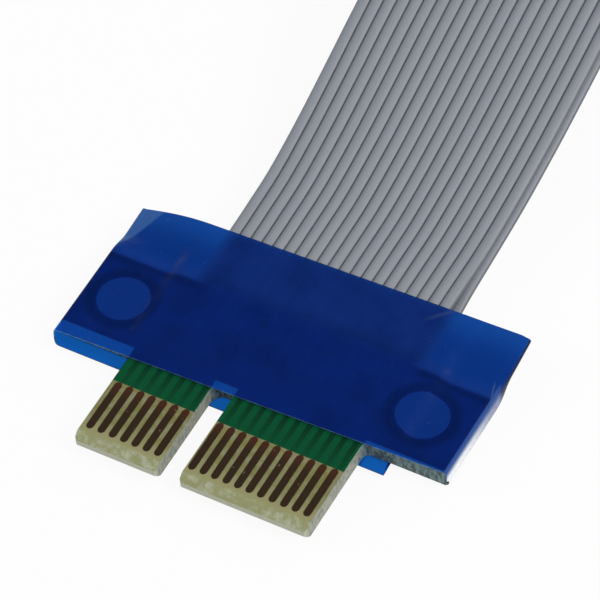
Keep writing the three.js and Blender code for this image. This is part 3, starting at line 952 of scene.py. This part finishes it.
@dataclass
class FilmWrap:
    """Thin film folded round a board end, over its joints and the ends of the ribbons."""

    name: str
    node: str
    edge_y: float
    centre_x: float
    mid_z: float
    towards: int
    half_width: float
    left: float
    right: float
    folds: tuple[SideFold, SideFold]
    lower: Callable[[float, Face], float]
    upper: Callable[[float], float]
    joint_start: float
    tail: Optional[TailCut] = None
    board: float = 1.57
    thickness: float = 0.09
    gap: float = 0.11
    joint_height: float = 0.4
    ribbon_rise: float = 0.6
    cover_gap: float = 0.16
    fold: float = 0.3
    ramp: float = 1.6
    ramp_lead: float = 2.1
    wire_reach: float = 0.9
    edge: float = 0.1
    closing: float = 2.6
    fold_gap: float = 0.12
    columns: int = 104
    fold_columns: int = 10
    rows: int = 60

    def height(self, x: float, y: float, face: Face) -> float:
        """Height of a sheet of the film above the board's middle.

        Args:
            x: Place across, from the board's middle.
            y: Place along, from the board's ribbon edge.
            face: The board's side.

        Returns:
            The height, in millimetres.
        """
        flat = self.board / 2 + self.gap
        joints = flat + self.joint_height
        covered = self.board / 2 + self.ribbon_rise + self.cover_gap
        inside = eased(self.left - self.ramp, self.left, x)
        inside *= 1 - eased(self.right, self.right + self.ramp, x)
        ramp_end = self.joint_start - self.ramp_lead
        over = flat + (joints - flat) * eased(ramp_end - self.ramp, ramp_end, y)
        lifted = over + (covered - joints) * eased(0, self.wire_reach, y)
        over_board = flat + (lifted - flat) * inside
        closed = eased(self.edge, self.edge + self.closing, y)
        risen = min(max((y - self.edge) / (self.upper(x) - self.edge), 0.0), 1.0)
        is_left = x < (self.left + self.right) / 2
        fold = self.folds[0 if is_left else 1]
        side = self.half_width + self.gap
        from_fold = max(side - abs(x), 0.0)
        half = flat + (self.fold_gap - flat) * closed
        if face is Face.FRONT:
            sheet = over_board + (covered - over_board) * risen
            drooped = 1 - math.sin(min(from_fold / fold.droop, 1.0) * math.pi / 2)
            return sheet + (fold.rise * risen + half - sheet) * drooped
        wing = side + self.left if is_left else side - self.right
        hung = min(from_fold / wing, 1.0) ** 2
        low = fold.rise * risen - half
        sheet = low + (-lifted - low) * hung
        return -over_board + (sheet + over_board) * closed

    def fold_shape(self, x: float, y: float, turn: float) -> tuple[float, float]:
        """Place on the rounded side fold, which runs from the front sheet round to the back one.

        Args:
            x: The fold's inner edge across, left or right.
            y: Place along.
            turn: Share of the way round, 0 at the front sheet.

        Returns:
            How far past the inner edge the film stands, and its height.
        """
        front, back = self.height(x, y, Face.FRONT), self.height(x, y, Face.BACK)
        middle, half = (front + back) / 2, (front - back) / 2
        angle = math.pi * (0.5 - turn)
        reach = math.copysign(abs(math.cos(angle)) ** 0.55 * self.fold, x)
        return reach, middle + math.copysign(abs(math.sin(angle)) ** 0.75, angle) * half

    def wrapped(self, around: float, along: float) -> tuple[float, float, float]:
        """Place of a point of the flat strip once it is wrapped.

        Args:
            around: Share of the way round, from the left edge of the front.
            along: Share of the way from the lower to the upper edge.

        Returns:
            Its place in millimetres.
        """
        total = 2 * (self.columns + self.fold_columns)
        step = around * total
        flat_half = self.half_width + self.gap - self.fold
        turn = None
        face = Face.FRONT
        if step <= self.columns:
            x = flat_half * (2 * step / self.columns - 1)
        elif step <= self.columns + self.fold_columns:
            turn, x = (step - self.columns) / self.fold_columns, flat_half
        elif step <= 2 * self.columns + self.fold_columns:
            share = (step - self.columns - self.fold_columns) / self.columns
            face, x = Face.BACK, flat_half * (1 - 2 * share)
        else:
            turn, x = 1 - (step - 2 * self.columns - self.fold_columns) / self.fold_columns, -flat_half
        if turn is not None and turn > 0.5:
            face = Face.BACK
        low, high = self.lower(x, face), self.upper(x)
        y = low + along * (high - low)
        if turn is None:
            reach, z = 0.0, self.height(x, y, face)
        else:
            reach, z = self.fold_shape(x, y, turn)
        if self.tail is not None and face is Face.BACK and turn is None:
            x = self.tail.shifted(x, y - self.lower(-flat_half, face), 2 * flat_half / self.columns)
        return (
            self.centre_x + self.towards * (x + reach),
            self.edge_y + self.towards * y,
            self.mid_z + z,
        )

    def build(self, material: bpy.types.Material, edge: bpy.types.Material) -> bpy.types.Object:
        """Wraps a flat strip round the board and gives it its thickness.

        Args:
            material: The film.
            edge: Its cut edge.

        Returns:
            The film.
        """
        total = 2 * (self.columns + self.fold_columns)
        wipe_selection()
        bpy.ops.mesh.primitive_grid_add(x_subdivisions=total, y_subdivisions=self.rows, size=1)
        piece = bpy.context.object
        piece.name = piece.data.name = self.name
        for vertex in piece.data.vertices:
            place = self.wrapped(vertex.co.x + 0.5, vertex.co.y + 0.5)
            vertex.co = Vector(place) * MM
        make_active(piece)
        bpy.ops.object.mode_set(mode="EDIT")
        bpy.ops.mesh.select_all(action="SELECT")
        bpy.ops.mesh.remove_doubles(threshold=0.00001)
        bpy.ops.mesh.normals_make_consistent(inside=False)
        bpy.ops.object.mode_set(mode="OBJECT")
        piece.data.materials.append(material)
        piece.data.materials.append(edge)
        thickness = self.thickness * MM
        apply_modifier(piece, "SOLIDIFY", thickness=thickness, offset=1.0, material_offset_rim=1)
        smooth(piece, 50.0)
        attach(piece, "root")
        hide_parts(self.node)
        LOG.info("%s: %d faces", self.name, len(piece.data.polygons))
        return piece


def eased(start: float, end: float, value: float) -> float:
    """Smooth rise from 0 to 1 between two values."""
    t = min(max((value - start) / (end - start), 0.0), 1.0)
    return t * t * (3 - 2 * t)


@dataclass
class PlugEnd:
    """The edge plug: its board and the film round it."""

    board_node: str = "plug_board"
    film_node: str = "plug_film"
    tip_y: float = -94.15
    board_length: float = 17.28
    shoulder: float = 9.44
    mask_start: float = 6.08
    bevel: float = 0.9
    half_width: float = 16.875
    board_low: float = 0.85
    board_high: float = 2.42
    film_start: float = 8.28
    film_slant: float = 0.03
    film_height: float = 14.15
    film_left: float = -10.475
    film_right: float = 11.835
    hole_y: float = -80.79
    holes: tuple[float, float] = (-13.585, 12.875)
    tabs: tuple[Point, Point] = ((-10.35, -3.11), (-1.12, 10.07))
    joint_start: float = -4.25

    def build(self, edge: bpy.types.Material) -> None:
        """Dresses the board and builds its film.

        Args:
            edge: The film's cut edge.
        """
        board = BoardFinish(
            "plug_laminate",
            face_high=self.board_high,
            face_low=self.board_low,
            mask_from=self.tip_y + self.mask_start,
            mask_to=self.tip_y + self.board_length + 1,
            trace_start=self.tip_y + self.mask_start,
            bevel_end=self.tip_y + self.bevel,
            shoulder_y=self.tip_y + self.shoulder,
        )
        dress(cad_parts[self.board_node], board.build())
        edge_y = self.tip_y + self.board_length
        start = self.film_start - self.board_length
        cut = TailCut()
        film = FilmFinish(
            "plug_film",
            edge_y=edge_y,
            towards=1,
            left=self.film_left,
            right=self.film_right,
            side=self.half_width,
            shoulder_y=self.tip_y + self.shoulder,
            upper_y=edge_y + start + self.film_height + self.half_width * self.film_slant,
            slant=self.film_slant,
            holes=tuple((x, self.hole_y) for x in self.holes),
            tabs=self.tabs,
        )

        def slant(x: float) -> float:
            return start + (x + self.half_width) * self.film_slant

        def lower(x: float, face: Face) -> float:
            if face is Face.FRONT:
                return slant(x)
            return start + (cut.rise if x > cut.split else 0.0)

        FilmWrap(
            name="plug_film_wrap",
            node=self.film_node,
            edge_y=edge_y,
            centre_x=0.0,
            mid_z=(self.board_low + self.board_high) / 2,
            towards=1,
            half_width=self.half_width,
            left=self.film_left,
            right=self.film_right,
            folds=(SideFold(0.31, 6.0), SideFold(1.2, 0.8)),
            lower=lower,
            upper=lambda x: slant(x) + self.film_height,
            joint_start=self.joint_start,
            tail=cut,
        ).build(film.build(), edge)


@dataclass
class SocketEnd:
    """The slot socket: its board, film, housing and spring contacts."""

    board_node: str = "socket_board"
    film_node: str = "socket_film"
    housing_node: str = "socket_housing"
    edge_y: float = 73.15
    board_length: float = 9.5
    half_width: float = 13.7
    centre_x: float = -0.225
    board_low: float = 3.015
    board_high: float = 4.585
    film_past: float = 6.0
    film_left: float = -12.06
    film_right: float = 10.25

    def build(self, edge: bpy.types.Material) -> None:
        """Dresses the board, the housing and the contacts, and builds the film.

        Args:
            edge: The film's cut edge.
        """
        board = BoardFinish(
            "socket_laminate",
            face_high=self.board_high,
            face_low=self.board_low,
            mask_from=self.edge_y - 1,
            mask_to=self.edge_y + self.board_length + 1,
            trace_start=self.edge_y,
            bevel_end=self.edge_y - 1,
            shoulder_y=self.edge_y,
        )
        dress(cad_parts[self.board_node], board.build())
        film = FilmFinish(
            "socket_film",
            edge_y=self.edge_y,
            towards=-1,
            left=self.centre_x - self.film_right,
            right=self.centre_x - self.film_left,
            side=self.half_width,
            shoulder_y=self.edge_y + self.board_length,
            upper_y=self.edge_y - self.film_past,
            slant=0.0,
            holes=(),
            tabs=(),
        )
        dress(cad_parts[self.housing_node], MouldingFinish().build())
        plating = PlatingFinish().build()
        for name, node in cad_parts.items():
            if name.startswith("contact_"):
                dress(node, plating)
        FilmWrap(
            name="socket_film_wrap",
            node=self.film_node,
            edge_y=self.edge_y,
            centre_x=self.centre_x,
            mid_z=(self.board_low + self.board_high) / 2,
            towards=-1,
            half_width=self.half_width,
            left=self.film_left,
            right=self.film_right,
            folds=(SideFold(0.2, 1.2), SideFold(0.2, 1.2)),
            lower=lambda x, face: -self.board_length,
            upper=lambda x: self.film_past,
            joint_start=-self.board_length,
        ).build(film.build(), edge)


# Studio


@dataclass(frozen=True)
class Lamp:
    """A soft square lamp that faces the part: its place and side in metres, its watts and colour."""

    name: str
    place: tuple[float, float, float]
    size: float
    power: float
    tint: Colour

    def build(self) -> None:
        """Hangs the lamp."""
        data = bpy.data.lights.new(self.name, "AREA")
        data.size = self.size
        data.energy = self.power
        data.color = self.tint
        made = bpy.data.objects.new(self.name, data)
        facing = (-Vector(self.place)).to_track_quat("-Z", "Y")
        made.matrix_world = Matrix.Translation(self.place) @ facing.to_matrix().to_4x4()
        bpy.context.scene.collection.objects.link(made)


@dataclass
class Studio:
    """Pale floor, soft lamps, world and the camera."""

    camera_place: tuple[float, float, float] = (0.1371, -0.2963, 0.3200)
    azimuth: float = 31.96
    elevation: float = 50.56
    roll: float = -4.45
    lens: float = 315.6
    sensor: float = 36.0
    floor_size: float = 6.0
    floor_z: float = -0.00008
    floor_glow: float = 0.93
    world_light: float = 0.47
    horizon: Point = (0.15, 0.6)
    sky: float = 0.12
    far: float = 20
    lamps: tuple[Lamp, ...] = (
        Lamp("key", (0.75, -0.15, 0.75), 0.5, 7.6, (1.0, 0.98, 0.95)),
        Lamp("fill", (-0.8, -0.45, 0.6), 0.6, 3.4, (0.93, 0.96, 1.0)),
        Lamp("rear", (0.3, 0.95, 0.7), 0.5, 2.5, (1.0, 1.0, 1.0)),
    )

    def camera(self) -> None:
        """Stands the camera at the photograph's angle."""
        turn, lift, roll = (math.radians(a) for a in (self.azimuth, self.elevation, self.roll))
        back = Vector(
            (math.sin(turn) * math.cos(lift), -math.cos(turn) * math.cos(lift), math.sin(lift))
        )
        level = Vector((math.cos(turn), math.sin(turn), 0))
        right = level * math.cos(roll) + back.cross(level) * math.sin(roll)
        up = back.cross(right)
        data = bpy.data.cameras.new("photo_view")
        data.lens = self.lens
        data.sensor_width = self.sensor
        data.clip_end = self.far
        made = bpy.data.objects.new("photo_view", data)
        made.matrix_world = Matrix.Translation(self.camera_place) @ Matrix(
            (right, up, back)
        ).transposed().to_4x4()
        bpy.context.scene.collection.objects.link(made)
        bpy.context.scene.camera = made

    def floor(self) -> None:
        """Lays the pale floor, which shows white and keeps a soft shadow."""
        wipe_selection()
        bpy.ops.mesh.primitive_plane_add(size=self.floor_size, location=(0, 0, self.floor_z))
        sheet = bpy.context.object
        sheet.name = "studio_floor"
        g = Graph("studio_paper")
        paper = g.surface(Base_Color=(0.8, 0.8, 0.8), Roughness=0.9, Specular_IOR_Level=0.0)
        white = g.node("ShaderNodeEmission", inputs={"Color": (1.0, 1.0, 1.0), "Strength": 1.0})
        share = g.seen() * self.floor_glow
        mixed = g.node("ShaderNodeMixShader", inputs={0: share, 1: paper, 2: white})
        sheet.data.materials.append(g.finish(mixed))

    def world(self) -> None:
        """Sets an even soft light, white near the horizon where it is seen or mirrored."""
        g = Graph("studio_world", world=True)
        where = g.node("ShaderNodeTexCoord", output="Generated")
        up = g.node("ShaderNodeSeparateXYZ", inputs={0: where}, output="Z")
        low, high = self.horizon
        inputs = {"Value": up, "From Min": low, "From Max": high, "To Min": 1.0, "To Max": self.sky}
        fade = g.node("ShaderNodeMapRange", {"interpolation_type": "SMOOTHSTEP"}, inputs, "Result")
        light = g.node("ShaderNodeBackground", inputs={"Strength": self.world_light})
        backdrop = g.node("ShaderNodeBackground", inputs={"Strength": fade})
        mixed = g.node("ShaderNodeMixShader", inputs={0: g.seen(), 1: light, 2: backdrop})
        bpy.context.scene.world = g.finish(mixed)

    def build(self) -> None:
        """Sets up the whole studio."""
        scene = bpy.context.scene
        scene.view_settings.view_transform = "Standard"
        self.camera()
        self.floor()
        self.world()
        for lamp in self.lamps:
            lamp.build()


FRONT_ROUTE = (
    (-75.67, 2.67), (-73.0, 2.67), (-70.6, 2.69), (-68.1, 2.8), (-64.6, 3.04), (-59.6, 4.12),
    (-54.6, 5.62), (-49.6, 7.27), (-44.6, 8.77), (-39.6, 10.02), (-33.1, 11.37), (-26.1, 12.42),
    (-18.1, 13.22), (-9.1, 13.62), (-0.1, 13.52), (8.9, 13.02), (17.9, 12.12), (26.9, 10.82),
    (35.9, 9.22), (43.9, 7.72), (51.9, 6.37), (58.9, 5.5), (64.9, 5.0), (68.9, 4.86), (71.95, 4.835),
)
BACK_ROUTE = (
    (-75.67, 0.6), (-73.5, 0.64), (-71.6, 0.84), (-69.6, 1.27), (-67.6, 1.74), (-64.6, 2.27),
    (-59.6, 3.335), (-54.6, 4.82), (-49.6, 6.47), (-44.6, 7.98), (-39.6, 9.235), (-33.1, 10.595),
    (-26.1, 11.65), (-18.1, 12.455), (-9.1, 12.86), (-0.1, 12.76), (8.9, 12.26), (17.9, 11.355),
    (26.9, 10.05), (35.9, 8.45), (43.9, 6.94), (51.9, 5.5), (58.9, 4.25), (64.9, 3.25),
    (68.9, 2.83), (71.95, 2.765),
)
FRONT_CENTRE = 0.505
BACK_CENTRE = 0.855


def main() -> None:
    """Builds the studio, the ribbons and both ends, in that order."""
    logging.basicConfig(level=logging.INFO, format="%(name)s %(message)s")
    Studio().build()
    for name, node, centre, route in (
        ("ribbon_front_ribbed", "ribbon_front", FRONT_CENTRE, FRONT_ROUTE),
        ("ribbon_back_ribbed", "ribbon_back", BACK_CENTRE, BACK_ROUTE),
    ):
        ribbon = Ribbon(name, node, centre, route, Narrowing())
        ribbon.build(RibbonFinish(name, centre, ribbon.pitch, ribbon.narrowing).build())
    edge = CutEdgeFinish().build()
    PlugEnd().build(edge)
    SocketEnd().build(edge)
    bpy.context.view_layer.update()


if __name__ == "__main__":
    main()
